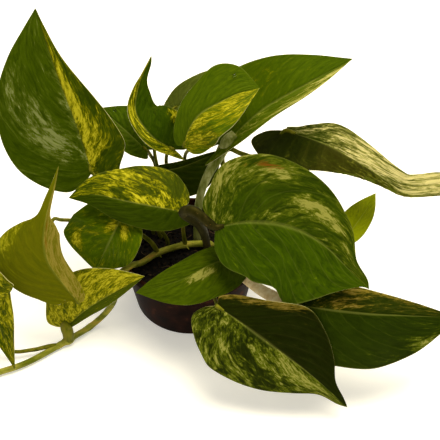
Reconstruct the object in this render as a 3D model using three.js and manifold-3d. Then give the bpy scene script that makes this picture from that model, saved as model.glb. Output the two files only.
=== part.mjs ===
// A potted pothos plant: a squat plastic pot filled with soil, one trailing vine and eighteen
// heart-shaped leaves, each blade in one piece with its stalk. Units are millimetres, +Z is up and
// the origin is the centre of the pot's underside. The front of the plant looks along -Y.
import * as THREE from "three";
import { mergeVertices } from "three/addons/utils/BufferGeometryUtils.js";
import Module from "manifold-3d";

// Driving dimensions, in millimetres
const POT_HEIGHT = 56;
const RIM_RADIUS = 55;
const RIM_DEPTH = 7;
const RIM_STEP = 2.5;
const BASE_RADIUS = 44;
const FOOT_BEVEL = 2;
const POT_WALL = 1.8;
const POT_FLOOR = 2.8;
const SOIL_TOP = 48;
const SOIL_MOUND = 1;
const SOIL_SHOULDER = 3;
const CLEARANCE = 0.35;
const HOLE_GAP = 0.6;
const BLADE_THICKNESS = 0.8;
const STALK_RADIUS = 1.5;
const STALK_DEPTH = 9;
const VINE_RADIUS = 2.3;
const NODE_RADIUS = 3.1;

// How a stalk meets its blade: how far below the midrib it lies and how far along it runs
const LANDING_DEPTH = 0.5;
const LANDING_SHARE = 0.06;

// A triangle smaller than this, in square millimetres, is a folded-up one and is left out
const SMALLEST_AREA = 1e-5;

// How finely the blades and the round things are cut
const ROWS = 12;
const COLUMNS = 2;
const ROW_CROWDING = 1.5;
const STALK_SIDES = 6;
const STALK_STEPS = 11;
const VINE_SIDES = 8;
const VINE_STEPS = 48;
const POT_SIDES = 40;
const HOLE_SIDES = 10;

// Colour and roughness of each kind of piece
const POT_LOOK = { color: 0x2a1512, roughness: 0.25 };
const SOIL_LOOK = { color: 0x140e0a, roughness: 0.95 };
const VINE_LOOK = { color: 0x7d8420, roughness: 0.5 };
const LEAF_LOOK = { color: 0x3f5a12, roughness: 0.4 };

// The vine's swollen nodes, from the one near its root to the last one before its growing tip
const vineNodes = {
  rooted: [-4, 3, 52.8],
  creeping: [-25, -6, 52.8],
  landed: [-79, -38, 3.1],
  gold: [-94, -52, 4.2],
  fork: [-101, -57, 3.2],
  outer: [-145, -84, 3.1],
};

// The vine's course: out of the soil, over it, across the rim and down to the surface
const vineCourse = [
  [17, 6, SOIL_TOP - STALK_DEPTH], [17, 6, 46], [15.5, 5.5, 51], [9, 4, 53.2], vineNodes.rooted,
  vineNodes.creeping, [-37, -19, 55], [-45, -27, 59.6], [-52, -31, 56], [-56, -32, 44],
  [-58, -32, 30], [-62, -31, 19], [-69, -32, 9], vineNodes.landed, vineNodes.gold, vineNodes.fork,
  [-125, -75, 3.1], vineNodes.outer, [-158, -88, 3.1],
];

// Every leaf. Its midrib runs through spine from the stalk to the tip, and its upper side looks
// along face. Each half has a width, the angle at which it folds up at the midrib and the angle
// that it bends on by its margin. The stalk rises from a foot in the soil or from a vine node.
const leaves = [
  {
    name: "leaf_tall_left",
    spine: [[-75, 29, 105], [-86, 48, 135], [-100, 68, 170], [-115, 97, 208]],
    face: [0, -0.73, 0.68],
    left: { width: 57, fold: 0.1, bend: -0.2, lobe: 0.07, belly: 0.36 },
    right: { width: 34, fold: 0.35, bend: 0.1, lobe: 0.14, belly: 0.16, slim: 1.3 },
    foot: [-24, 16],
    stalk: [[-34, 20, 70], [-56, 26, 92]],
  },
  {
    name: "leaf_curled_left",
    spine: [
      [-82, -55, 48], [-94, -47, 62], [-104, -39, 76], [-107, -31, 88], [-105, -19, 103],
      [-100, -2, 116], [-97, 13, 125],
    ],
    face: [-0.1, 0.8, -0.6],
    left: { width: 12, fold: 0.1, bend: 0.1, lobe: 0, belly: 0.5 },
    right: { width: 41, fold: 0.1, bend: 0.3, lobe: -0.08, belly: 0.42, slim: 0.5, drawn: 0.9 },
    drip: 0.32,
    node: "creeping",
    stalk: [
      [-31, -6, 66], [-58, 9, 72], [-84, 7, 75], [-97, -2, 84], [-102, -9, 91], [-104, -18, 86],
      [-98, -35, 70], [-88, -49, 54],
    ],
  },
  {
    name: "leaf_low_left",
    spine: [[-50, -9, 95], [-57, -20, 85], [-64, -24, 71], [-71, -29, 57]],
    face: [-0.1, -0.65, 0.75],
    left: { width: 23, fold: 0.2, bend: -0.2, lobe: 0.1, belly: 0.45 },
    right: { width: 35.7, fold: 0.1, bend: -0.3, lobe: 0.1, belly: 0.62, slim: -0.55 },
    foot: [-18, 9],
    stalk: [[-22, 6, 64], [-36, 0, 86]],
  },
  {
    name: "leaf_vine_gold",
    spine: [[-95, -49, 16], [-76, -47, 35], [-57, -46, 50], [-33, -44, 66]],
    face: [0, -0.75, 0.66],
    left: { width: 31, fold: 0.1, bend: 0.1 },
    right: { width: 6.5, fold: 0.1, bend: 0.1, lobe: 0, belly: 0.45, drawn: 0.5 },
    node: "gold",
    stalk: [[-94, -51, 11]],
    stalkRadius: 4.2,
  },
  {
    name: "leaf_left_gold",
    spine: [[-4, -15, 104], [-46, -12, 112], [-69, -7, 114], [-89, -6, 110]],
    face: [0, -0.25, 0.97],
    left: { width: 18, fold: -0.7, bend: -0.2, lobe: 0.08 },
    right: { width: 32, fold: 0.3, bend: -0.3, lobe: 0.03 },
    node: "rooted",
    stalk: [[-5, 1, 66], [-5, -6, 86]],
  },
  {
    name: "leaf_back_small",
    spine: [[-34, 41, 118], [-50, 52, 128], [-70, 74, 132]],
    face: [0.2, -0.7, 0.7],
    left: { width: 13, fold: 0.1, bend: 0.1 },
    right: { width: 22, fold: 0.1, bend: 0.1 },
    foot: [-26, 33],
    stalk: [[-27, 44, 70], [-28, 53, 92], [-31, 50, 104]],
  },
  {
    name: "leaf_back_narrow",
    spine: [[-12, 31, 126], [-28, 32, 138], [-40, 46, 150], [-38, 57, 164], [-28, 70, 184]],
    face: [0.3, -0.7, 0.6],
    left: { width: 8, fold: 0.2, bend: 0.1 },
    right: { width: 27, fold: 0.3, bend: 0.1, lobe: 0.12, belly: 0.22, slim: 0.5 },
    drip: 0.12,
    foot: [-16, 32],
    stalk: [[-18, 46, 80], [-19, 52, 100], [-15, 45, 117]],
  },
  {
    name: "leaf_back_grey",
    spine: [[-12, 66, 138], [2, 65, 149], [20, 70, 159], [42, 80, 163]],
    face: [0, -0.6, 0.8],
    left: { width: 14, fold: 0.1, bend: 0.1 },
    right: { width: 14, fold: 0.1, bend: 0.1 },
    foot: [-22, 40],
    stalk: [[-24, 46, 80], [-28, 54, 112], [-22, 64, 130]],
  },
  {
    name: "leaf_centre_gold",
    spine: [[-4, 18, 140], [0, 22, 152], [8, 26, 163], [21, 30, 170], [37, 36, 175], [52, 42, 175]],
    face: [0, -0.6, 0.8],
    left: { width: 24, fold: 0.2, bend: 0.1, lobe: 0.01, belly: 0.6, slim: -0.8, drawn: 0.9 },
    right: { width: 25, fold: 0.2, bend: 0.1, lobe: 0.03, belly: 0.4 },
    foot: [-6, 40],
    stalk: [[-5, 47, 80], [-4, 51, 104], [5, 35, 126]],
  },
  {
    name: "leaf_back_long",
    spine: [[29, 30, 136], [55, 48, 150], [83, 62, 160], [126, 100, 160]],
    face: [0, -0.6, 0.8],
    left: { width: 38.2, fold: 0.2, bend: 0.1, lobe: 0.2, belly: 0.24, slim: 0.35 },
    right: { width: 10, fold: 0.2, bend: 0.1, lobe: 0.2 },
    foot: [5, 14],
    stalk: [[6, 15, 78], [9, 18, 96], [15, 22, 111], [23, 26, 125]],
    stalkRadius: 3,
  },
  {
    name: "leaf_big_right",
    spine: [
      [20, -43, 115], [44, -45, 122], [73, -47, 119], [96, -55, 110], [114, -69, 99],
      [128, -81, 91],
    ],
    face: [0.1, -0.5, 0.85],
    left: { width: 49, fold: 0.1, bend: 0.1, lobe: 0.06, belly: 0.3, slim: 0.4 },
    right: { width: 45, fold: -0.2, bend: -0.2, lobe: 0.02, belly: 0.5, slim: -1.7, drawn: 0, flare: 0.35 },
    drip: 0.08,
    foot: [13, -18],
    stalk: [[13, -22, 78], [8, -29, 104], [-3, -33, 120], [4, -38, 126]],
    stalkRadius: 2.8,
  },
  {
    name: "leaf_right_cream",
    spine: [
      [74, 62, 119], [92, 49, 122], [107, 38, 123], [120, 30, 120], [134, 20, 117], [149, 12, 110],
      [161, 8, 103], [175, 6, 102], [188, 6, 103], [215, 8, 103], [239, 12, 102],
    ],
    face: [0, -0.4, 0.9],
    left: { width: 19, fold: 0.1, bend: 0.1, lobe: 0, belly: 0.22, slim: -0.8, drawn: 0.85, flare: 1 },
    right: {
      width: 25, fold: -0.1, bend: 0.1, lobe: 0.12, belly: 0.2, slim: 2.5, drawn: -1.3, flare: 0.75,
    },
    foot: [26, 24],
    stalk: [[28, 40, 84], [25, 46, 107], [30, 47, 113], [39, 49, 107], [52, 52, 101], [66, 57, 109]],
    stalkRadius: 2,
  },
  {
    name: "leaf_right_small",
    spine: [[118, -7, 68], [133, 14, 74], [145, 35, 78]],
    face: [-0.2, -0.6, 0.75],
    left: { width: 13, fold: 0.1, bend: 0.1 },
    right: { width: 10, fold: 0.1, bend: 0.1 },
    foot: [38, 2],
    stalk: [[52, 0, 66], [90, -10, 72]],
  },
  {
    name: "leaf_shade",
    spine: [[-35, 45, 90], [-6, 44, 98], [26, 58, 104]],
    face: [0, -0.75, 0.65],
    left: { width: 5, fold: 0.1, bend: 0.1 },
    right: { width: 24, fold: 0, bend: 0.1, belly: 0.5 },
    foot: [-30, 22],
    stalk: [[-34, 34, 70]],
  },
  {
    name: "leaf_front_right",
    spine: [[73, -77, 72], [97, -84, 74], [129, -85, 70], [152, -82, 65], [196, -78, 58]],
    face: [0, -0.4, 0.9],
    left: { width: 20, fold: 0, bend: 0.1, lobe: 0.05, slim: 0.3 },
    right: { width: 41, fold: -0.5, bend: -0.2, lobe: 0.05, belly: 0.3, slim: -0.6 },
    foot: [31, -25],
    stalk: [[37, -37, 61], [54, -62, 69]],
    stalkRadius: 3.6,
  },
  {
    name: "leaf_front_heart",
    spine: [[21, -80, 72], [36, -90, 68], [57, -100, 56], [87, -112, 36], [115, -125, 14]],
    face: [-0.3, -0.6, 0.7],
    left: { width: 37, fold: 0, bend: 0.1, lobe: 0.02, belly: 0.42, drawn: 0.85 },
    right: { width: 40, fold: -0.1, bend: -0.1, lobe: 0.1, belly: 0.33, slim: 0.3, drawn: -0.2 },
    drip: 0.1,
    foot: [12, -34],
    stalk: [[14, -44, 59], [19, -60, 60], [21, -72, 64]],
  },
  {
    name: "leaf_front_green",
    spine: [[36, -34, 80], [14, -51, 84], [-5, -57, 76], [-39, -58, 63]],
    face: [0, -0.5, 0.85],
    left: { width: 24, fold: -0.1, bend: -0.1 },
    right: { width: 12.5, fold: 0.1, bend: 0.1, belly: 0.5 },
    foot: [26, -14],
    stalk: [[34, -20, 66]],
  },
  {
    name: "leaf_vine_low",
    spine: [[-150, -52, 60], [-142, -67, 38], [-131, -84, 7]],
    face: [-0.2, -0.8, 0.5],
    left: { width: 20, fold: 0.1, bend: 0.1, lobe: 0.25, belly: 0.05, slim: 0.6, drawn: -0.7 },
    right: { width: 11, fold: 0.1, bend: 0.1, slim: 0.8 },
    node: "fork",
    stalk: [
      [-105, -55, 7.5], [-112, -59.5, 7], [-120, -63, 6], [-137, -66, 8], [-147, -56, 28], [-151, -49, 48],
    ],
  },
];

const wasm = await Module();
wasm.setup();

const vector = (point) => new THREE.Vector3(...point);
const lerp = THREE.MathUtils.lerp;

// Turns a closed geometry into a solid that can be joined and cut
function solidOf(geometry) {
  const plain = geometry.index ? geometry.toNonIndexed() : geometry.clone();
  plain.deleteAttribute("normal");
  plain.deleteAttribute("uv");
  const merged = mergeVertices(plain, 1e-4);
  const mesh = new wasm.Mesh({
    numProp: 3,
    vertProperties: new Float32Array(merged.attributes.position.array),
    triVerts: new Uint32Array(merged.index.array),
  });
  return new wasm.Manifold(mesh);
}

function geometryOf(solid) {
  const mesh = solid.getMesh();
  const geometry = new THREE.BufferGeometry();
  geometry.setAttribute("position", new THREE.BufferAttribute(mesh.vertProperties, 3));
  geometry.setIndex(new THREE.BufferAttribute(mesh.triVerts, 1));
  geometry.computeVertexNormals();
  return geometry;
}

// A round rod along a smooth course
function rod(points, radius, sides, steps) {
  const course = new THREE.CatmullRomCurve3(points.map(vector), false, "centripetal");
  const section = new THREE.Shape();
  section.moveTo(radius, 0);
  for (let side = 1; side < sides; side += 1) {
    const angle = (2 * Math.PI * side) / sides;
    section.lineTo(radius * Math.cos(angle), radius * Math.sin(angle));
  }
  section.closePath();
  return new THREE.ExtrudeGeometry(section, { steps, extrudePath: course, curveSegments: 1 });
}

// One half of a heart-shaped margin, from the notch at the stalk round the lobe to the tip:
// along is a share of the midrib and out a share of the half's width. The lobe reaches behind the
// stalk, the belly is where the half is widest, slim hollows the run from the belly to the tip,
// drawn draws the lobe in, flare narrows the half past the belly and lets it out again before the
// tip, and a drip tip takes the last share of the length.
function marginOf({ lobe = 0.12, belly = 0.3, slim = 0, drawn = 0, flare = 0 }, drip = 0) {
  const front = 1 - drip;
  const taper = (share) => belly + (front - belly) * share;
  const points = [
    [0, 0], [-0.7 * lobe, 0.15 - 0.05 * drawn], [-lobe, 0.4 - 0.24 * drawn],
    [-0.4 * lobe + 0.05, 0.72 - 0.43 * drawn], [0.45 * belly, 0.94 - 0.4 * drawn], [belly, 1],
    [taper(0.34), 0.87 - 0.2 * slim - 0.3 * flare], [taper(0.64), 0.56 - 0.25 * slim + 0.15 * flare],
    [taper(0.86), 0.23 - 0.12 * slim + 0.2 * flare],
  ];
  if (drip > 0) points.push([1 - drip * 0.6, 0.09]);
  points.push([1, 0]);
  return new THREE.SplineCurve(points.map(([along, out]) => new THREE.Vector2(along, out)));
}

const midribOf = (leaf) => new THREE.CatmullRomCurve3(leaf.spine.map(vector), false, "centripetal");

// The frame of the blade at a share of the midrib's length. Below zero the midrib runs straight
// on behind the stalk, for the lobes.
function frameAt(leaf, course, share) {
  const inside = THREE.MathUtils.clamp(share, 0, 1);
  const ahead = course.getTangentAt(inside);
  const face = vector(leaf.face);
  const up = face.addScaledVector(ahead, -face.dot(ahead)).normalize();
  const across = ahead.clone().cross(up);
  const point = course.getPointAt(inside).addScaledVector(ahead, (share - inside) * course.getLength());
  return { point, ahead, up, across };
}

// The point of the blade's middle surface on one row: from the midrib, at sweep 0, to the margin
// of its side, at sweep 1, along a line that runs forward as the veins do
function bladePoint(leaf, course, side, turn, sweep) {
  const half = leaf[side];
  const edge = marginOf(half, leaf.drip).getPointAt(turn);
  const frame = frameAt(leaf, course, lerp(Math.pow(turn, ROW_CROWDING), edge.x, sweep));
  const out = edge.y * sweep * half.width;
  const angle = half.fold + (half.bend * edge.y * sweep) / 2;
  const hand = side === "left" ? -1 : 1;
  return frame.point
    .addScaledVector(frame.across, hand * out * Math.cos(angle))
    .addScaledVector(frame.up, out * Math.sin(angle));
}

// The blade's middle surface as rows of points, from the left margin to the right one
function bladeRows(leaf) {
  const course = midribOf(leaf);
  const rows = [];
  for (let row = 0; row <= ROWS; row += 1) {
    const points = [];
    for (let column = -COLUMNS; column <= COLUMNS; column += 1) {
      const side = column < 0 ? "left" : "right";
      points.push(bladePoint(leaf, course, side, row / ROWS, Math.abs(column) / COLUMNS));
    }
    rows.push(points);
  }
  return rows;
}

// Normal of the middle surface, from the points on either side
function normalAt(rows, row, column) {
  const inner = THREE.MathUtils.clamp(row, 1, ROWS - 1);
  const right = rows[inner][Math.min(column + 1, 2 * COLUMNS)];
  const left = rows[inner][Math.max(column - 1, 0)];
  const ahead = rows[Math.min(inner + 1, ROWS)][column];
  const behind = rows[Math.max(inner - 1, 0)][column];
  const across = right.clone().sub(left);
  return across.cross(ahead.clone().sub(behind)).normalize();
}

// One face of the blade: its middle surface moved along the normals. The first and the last row
// each come together in one point.
function bladeFace(rows, offset) {
  return rows.map((points, row) => {
    const closed = row === 0 || row === ROWS;
    return points.map((point, column) => {
      const from = closed ? COLUMNS : column;
      return rows[row][from].clone().addScaledVector(normalAt(rows, row, from), offset);
    });
  });
}

// A thin closed blade: the same triangles above and below, joined round the margin
function bladeGeometry(leaf) {
  const rows = bladeRows(leaf);
  const top = bladeFace(rows, BLADE_THICKNESS / 2);
  const under = bladeFace(rows, -BLADE_THICKNESS / 2);
  const positions = [];
  const quad = (a, b, c, d) => {
    for (const corners of [[a, b, c], [a, c, d]]) {
      const area = new THREE.Triangle(...corners).getArea();
      if (area > SMALLEST_AREA) positions.push(...corners.flatMap((corner) => corner.toArray()));
    }
  };
  const last = 2 * COLUMNS;
  for (let row = 0; row < ROWS; row += 1) {
    for (let column = 0; column < last; column += 1) {
      quad(top[row][column], top[row][column + 1], top[row + 1][column + 1], top[row + 1][column]);
      quad(under[row + 1][column + 1], under[row][column + 1], under[row][column], under[row + 1][column]);
    }
    quad(top[row][0], top[row + 1][0], under[row + 1][0], under[row][0]);
    quad(under[row][last], under[row + 1][last], top[row + 1][last], top[row][last]);
  }
  const geometry = new THREE.BufferGeometry();
  geometry.setAttribute("position", new THREE.Float32BufferAttribute(positions, 3));
  return geometry;
}

// Where a stalk starts: straight up out of the soil, or just off the face of a vine node
function footPoints(leaf) {
  const heights = [SOIL_TOP - STALK_DEPTH, SOIL_TOP - STALK_DEPTH / 2, SOIL_TOP + 2];
  if (leaf.foot) return heights.map((height) => [...leaf.foot, height]);
  const node = vector(vineNodes[leaf.node]);
  const heading = vector(leaf.stalk[0]).sub(node).normalize();
  return [node.addScaledVector(heading, NODE_RADIUS + CLEARANCE).toArray()];
}

// A stalk runs from its foot to the underside of the blade and a little way along the midrib
function stalkPoints(leaf) {
  const course = midribOf(leaf);
  const landing = [0, LANDING_SHARE].map((share) => {
    const frame = frameAt(leaf, course, share);
    return frame.point.addScaledVector(frame.up, -LANDING_DEPTH).toArray();
  });
  return [...footPoints(leaf), ...leaf.stalk, ...landing];
}

function leafMesh(leaf) {
  const stalk = rod(stalkPoints(leaf), leaf.stalkRadius ?? STALK_RADIUS, STALK_SIDES, STALK_STEPS);
  const blade = solidOf(bladeGeometry(leaf));
  const whole = blade.add(solidOf(stalk));
  return named(leaf.name, geometryOf(whole), LEAF_LOOK);
}

function named(name, geometry, look) {
  const mesh = new THREE.Mesh(geometry, new THREE.MeshStandardMaterial({ ...look, metalness: 0 }));
  mesh.name = name;
  return mesh;
}

// The vine: one round stem with a swollen ring at every node
function vineMesh() {
  let whole = solidOf(rod(vineCourse, VINE_RADIUS, VINE_SIDES, VINE_STEPS));
  for (const place of Object.values(vineNodes)) {
    const knot = new THREE.SphereGeometry(NODE_RADIUS, VINE_SIDES, VINE_SIDES - 2);
    knot.translate(...place);
    whole = whole.add(solidOf(knot));
  }
  return named("vine_stem", geometryOf(whole), VINE_LOOK);
}

// A closed round body, turned from its section about the upright axis
function turned(profile) {
  const body = new THREE.LatheGeometry(profile.map((pair) => new THREE.Vector2(...pair)), POT_SIDES);
  body.rotateX(Math.PI / 2);
  return body;
}

// The pot's wall in section: underside, outer wall, thicker rim, rounded lip, inner wall and floor
function potMesh() {
  const band = POT_HEIGHT - RIM_DEPTH;
  const profile = [
    [0, 0], [BASE_RADIUS - FOOT_BEVEL, 0], [BASE_RADIUS, FOOT_BEVEL], [RIM_RADIUS - RIM_STEP, band - 1],
    [RIM_RADIUS, band], [RIM_RADIUS, POT_HEIGHT - 1], [RIM_RADIUS - 1, POT_HEIGHT],
    [RIM_RADIUS - 3, POT_HEIGHT], [RIM_RADIUS - 4, POT_HEIGHT - 2], [BASE_RADIUS - POT_WALL, POT_FLOOR],
    [0, POT_FLOOR],
  ];
  return named("pot", turned(profile), POT_LOOK);
}

// Radius that the soil fills at a height: the pot's inner wall less a little air
function soilRadius(height) {
  const share = (height - POT_FLOOR) / (POT_HEIGHT - 2 - POT_FLOOR);
  return lerp(BASE_RADIUS - POT_WALL, RIM_RADIUS - 4, share) - 2 * CLEARANCE;
}

// The soil: it fills the pot, is rounded off by the wall and stands a little higher in the middle
function soilMesh() {
  const bottom = POT_FLOOR + CLEARANCE;
  const shoulder = SOIL_TOP - SOIL_SHOULDER;
  let whole = solidOf(turned([
    [0, bottom], [soilRadius(bottom), bottom], [soilRadius(shoulder), shoulder],
    [soilRadius(SOIL_TOP) - 2 * SOIL_SHOULDER, SOIL_TOP], [0, SOIL_TOP + SOIL_MOUND],
  ]));
  for (const leaf of leaves.filter(({ foot }) => foot)) {
    whole = whole.subtract(hole(leaf.foot, (leaf.stalkRadius ?? STALK_RADIUS) + HOLE_GAP));
  }
  whole = whole.subtract(hole(vineCourse[0], VINE_RADIUS + HOLE_GAP));
  return named("soil", geometryOf(whole), SOIL_LOOK);
}

// A plain upright hole in the soil, open at the top, for a stalk or the vine
function hole([x, y], radius) {
  const bottom = SOIL_TOP - STALK_DEPTH - CLEARANCE;
  const top = SOIL_TOP + 2 * SOIL_MOUND;
  const bore = new THREE.CylinderGeometry(radius, radius, top - bottom, HOLE_SIDES);
  bore.rotateX(Math.PI / 2);
  bore.translate(x, y, (top + bottom) / 2);
  return solidOf(bore);
}

const plant = new THREE.Group();
plant.add(potMesh(), soilMesh(), vineMesh(), ...leaves.map(leafMesh));

export default plant;
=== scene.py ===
import math
import random

import bpy
import numpy as np
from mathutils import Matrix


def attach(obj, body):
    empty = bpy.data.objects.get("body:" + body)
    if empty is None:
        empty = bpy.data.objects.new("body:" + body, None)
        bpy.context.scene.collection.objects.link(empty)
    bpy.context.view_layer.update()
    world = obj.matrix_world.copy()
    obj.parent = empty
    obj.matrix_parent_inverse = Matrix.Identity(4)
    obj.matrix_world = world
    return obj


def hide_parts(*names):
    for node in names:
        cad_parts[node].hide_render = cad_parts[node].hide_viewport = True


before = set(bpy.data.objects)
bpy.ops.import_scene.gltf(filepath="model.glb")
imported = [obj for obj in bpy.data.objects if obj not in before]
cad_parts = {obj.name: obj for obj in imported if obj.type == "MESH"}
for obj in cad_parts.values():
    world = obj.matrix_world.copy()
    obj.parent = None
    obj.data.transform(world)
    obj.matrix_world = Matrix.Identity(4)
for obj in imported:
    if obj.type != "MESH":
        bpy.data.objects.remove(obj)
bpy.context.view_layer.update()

# -----------------------------------------------------------------------------
# Pot: a squat round nursery pot of dark brown plastic, injection-moulded in one piece, with a
# thicker band round the rim. It stands on its flat underside and holds everything else.
# -----------------------------------------------------------------------------
MM = 0.001
POT_SIDES = 128
# Radius of the flat underside, in millimetres like all the lengths of the plant
POT_FOOT = 42
# Radius and height of each ring of the pot: up the outside from the bevelled foot, out to the
# band, over the rim and down the inside to the floor
POT_RINGS = [
    (44, 2), (52.3, 47.6), (52.5, 48.6), (55, 49.6), (55, 55.2), (54.2, 56), (52.2, 56),
    (51.2, 54.5), (42.2, 2.8),
]
POT_ROUNDING = 0.4


def linear(text, alpha=1.0):
    """A colour written as #rrggbb in linear light."""
    parts = [int(text[k:k + 2], 16) / 255 for k in (1, 3, 5)]
    return [p / 12.92 if p <= 0.04045 else ((p + 0.055) / 1.055) ** 2.4 for p in parts] + [alpha]


def add(tree, kind, inputs=(), stops=(), **settings):
    """Adds a node: its settings, its inputs as values or links, and a ramp's colour stops."""
    made = tree.nodes.new(kind)
    for key, value in settings.items():
        setattr(made, key, value)
    for key, value in dict(inputs).items():
        if isinstance(value, bpy.types.NodeSocket):
            tree.links.new(value, made.inputs[key])
        else:
            made.inputs[key].default_value = value
    for place, (position, colour) in enumerate(stops):
        ramp = made.color_ramp.elements
        stop = ramp[place] if place < len(ramp) else ramp.new(position)
        stop.position = position
        stop.color = colour
    return made.outputs


def new_material(name):
    """A new material with its node tree and its Principled shader."""
    material = bpy.data.materials.new(name)
    material.use_nodes = True
    tree = material.node_tree
    shader = tree.nodes["Principled BSDF"]
    return material, tree, shader


def only(piece):
    """Makes piece the one selected and active object."""
    bpy.ops.object.select_all(action="DESELECT")
    piece.select_set(True)
    bpy.context.view_layer.objects.active = piece


def settle(piece, node):
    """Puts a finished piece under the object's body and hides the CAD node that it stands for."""
    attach(piece, "root")
    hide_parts(node)


def tidy_mesh(piece, gap=0.01 * MM, angle=40):
    """Closes the seams, turns the faces outward and smooths the shading up to an angle."""
    only(piece)
    bpy.ops.object.mode_set(mode="EDIT")
    bpy.ops.mesh.select_all(action="SELECT")
    bpy.ops.mesh.remove_doubles(threshold=gap)
    bpy.ops.mesh.normals_make_consistent(inside=False)
    bpy.ops.object.mode_set(mode="OBJECT")
    bpy.ops.object.shade_smooth_by_angle(angle=math.radians(angle))


# Glossy moulded plastic, dark red-brown, with faint turning marks and dull dusty patches
pot_plastic, tree, shader = new_material("pot_gloss_plastic")
place = add(tree, "ShaderNodeTexCoord")["Object"]
rings = add(tree, "ShaderNodeMapping", {"Vector": place, "Scale": (20, 20, 900)})["Vector"]
marks = add(tree, "ShaderNodeTexNoise", {"Vector": rings, "Scale": 1.0, "Detail": 3.0})["Fac"]
dust = add(tree, "ShaderNodeTexNoise", {"Vector": place, "Scale": 90.0, "Detail": 6.0})["Fac"]
tint = add(tree, "ShaderNodeValToRGB", {"Fac": dust}, stops=[
    (0.35, linear("#0e0603")), (0.6, linear("#20100a")), (0.78, linear("#4a2818"))])["Color"]
tree.links.new(tint, shader.inputs["Base Color"])
gloss = add(tree, "ShaderNodeMapRange", {"Value": dust, "To Min": 0.35, "To Max": 0.6})["Result"]
tree.links.new(gloss, shader.inputs["Roughness"])
grain = add(tree, "ShaderNodeBump", {
    "Height": marks, "Strength": 0.12, "Distance": 0.4 * MM})["Normal"]
tree.links.new(grain, shader.inputs["Normal"])
shader.inputs["Specular IOR Level"].default_value = 0.015
shader.inputs["Specular Tint"].default_value = linear("#c87858")

bpy.ops.mesh.primitive_circle_add(vertices=POT_SIDES, radius=POT_FOOT * MM, fill_type="NGON")
pot = bpy.context.object
pot.name = "pot_shell"
bpy.ops.object.mode_set(mode="EDIT")
bpy.ops.mesh.select_all(action="SELECT")
radius, height = POT_FOOT, 0
for next_radius, next_height in POT_RINGS:
    bpy.ops.mesh.extrude_region_move(
        TRANSFORM_OT_translate={"value": (0, 0, (next_height - height) * MM)})
    grow = next_radius / radius
    bpy.ops.transform.resize(value=(grow, grow, 1), center_override=(0, 0, next_height * MM))
    radius, height = next_radius, next_height
bpy.ops.object.mode_set(mode="OBJECT")
tidy_mesh(pot)
rounding = pot.modifiers.new("rounding", "BEVEL")
rounding.width = POT_ROUNDING * MM
rounding.segments = 3
rounding.limit_method = "ANGLE"
rounding.angle_limit = math.radians(30)
bpy.ops.object.modifier_apply(modifier="rounding")
tidy_mesh(pot)
pot.data.materials.append(pot_plastic)
settle(pot, "pot")

# -----------------------------------------------------------------------------
# Soil: dark potting mix of peat and bark, filled in loose up to 8 mm below the rim. Its uneven
# top falls off at the pot's wall and has crumbs, bits of bark and fibres lying on it.
# -----------------------------------------------------------------------------
SOIL_LEVEL = 48
SOIL_FLOOR = 3.15
SOIL_FLOOR_RADIUS = 41.6
SOIL_RADIUS = 49
# The pot's inner radius at the soil's level
POT_INSIDE = 50
# How far the top rises and falls, and how far it drops towards the pot's wall
SOIL_WAVE = 0.6
SOIL_DROP = 2
# Share of the way from a ball's pole to its other pole that turns into the top or the underside
SOIL_CAP = 0.46
# Crumbs, and the share of them that are larger bits of bark: half their length, and then their
# width, thickness and height over the soil as shares of it
CRUMBS = 520
BARK_SHARE = 0.15
CRUMB_SIZES = (0.5, 1.5)
BARK_SIZES = (1.5, 2.6)
CRUMB_WIDTHS = (0.5, 0.9)
CRUMB_THICKNESS = (0.4, 0.8)
CRUMB_RISE = 0.2
# Fibres: how far out they start, how high they arch and how far they turn on their way
FIBRES = 46
FIBRE_LENGTHS = (4, 11)
FIBRE_REACH = 45
FIBRE_ARCHES = (0.3, 1.6)
FIBRE_TURN = 0.5
FIBRE_THICKNESS = ([0, 0.5, 1], [0.1, 0.2, 0.1])


def read_points(piece, field="co"):
    """Places of the piece's vertices in metres, or their normals, one to a row."""
    values = np.empty(len(piece.data.vertices) * 3)
    piece.data.vertices.foreach_get(field, values)
    return values.reshape(-1, 3)


def move_points(piece, points):
    """Moves the piece's vertices to points given in millimetres."""
    piece.data.vertices.foreach_set("co", (points * MM).ravel())
    piece.data.update()


def join(pieces, name):
    """Several objects made one."""
    bpy.ops.object.select_all(action="DESELECT")
    for piece in pieces:
        piece.select_set(True)
    bpy.context.view_layer.objects.active = pieces[0]
    bpy.ops.object.join()
    pieces[0].name = name
    return pieces[0]


# Damp peat: nearly black, matt, with brown specks of bark
soil_mix, tree, shader = new_material("soil_damp_peat")
place = add(tree, "ShaderNodeTexCoord")["Object"]
clods = add(tree, "ShaderNodeTexNoise", {"Vector": place, "Scale": 420.0, "Detail": 8.0})["Fac"]
specks = add(tree, "ShaderNodeTexVoronoi", {"Vector": place, "Scale": 520.0})["Color"]
dark = add(tree, "ShaderNodeValToRGB", {"Fac": clods}, stops=[
    (0.35, linear("#030201")), (0.6, linear("#080503")), (0.75, linear("#120b06"))])["Color"]
pick = add(tree, "ShaderNodeValToRGB", {"Fac": specks}, stops=[
    (0.72, linear("#000000")), (0.8, linear("#ffffff"))])["Color"]
brown = add(tree, "ShaderNodeMix", {0: pick, 6: dark, 7: linear("#1c1208")}, data_type="RGBA")[2]
tree.links.new(brown, shader.inputs["Base Color"])
shader.inputs["Roughness"].default_value = 0.92
shader.inputs["Specular IOR Level"].default_value = 0.15
rough = add(tree, "ShaderNodeBump", {"Height": clods, "Strength": 0.8, "Distance": 1 * MM})["Normal"]
tree.links.new(rough, shader.inputs["Normal"])

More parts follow.
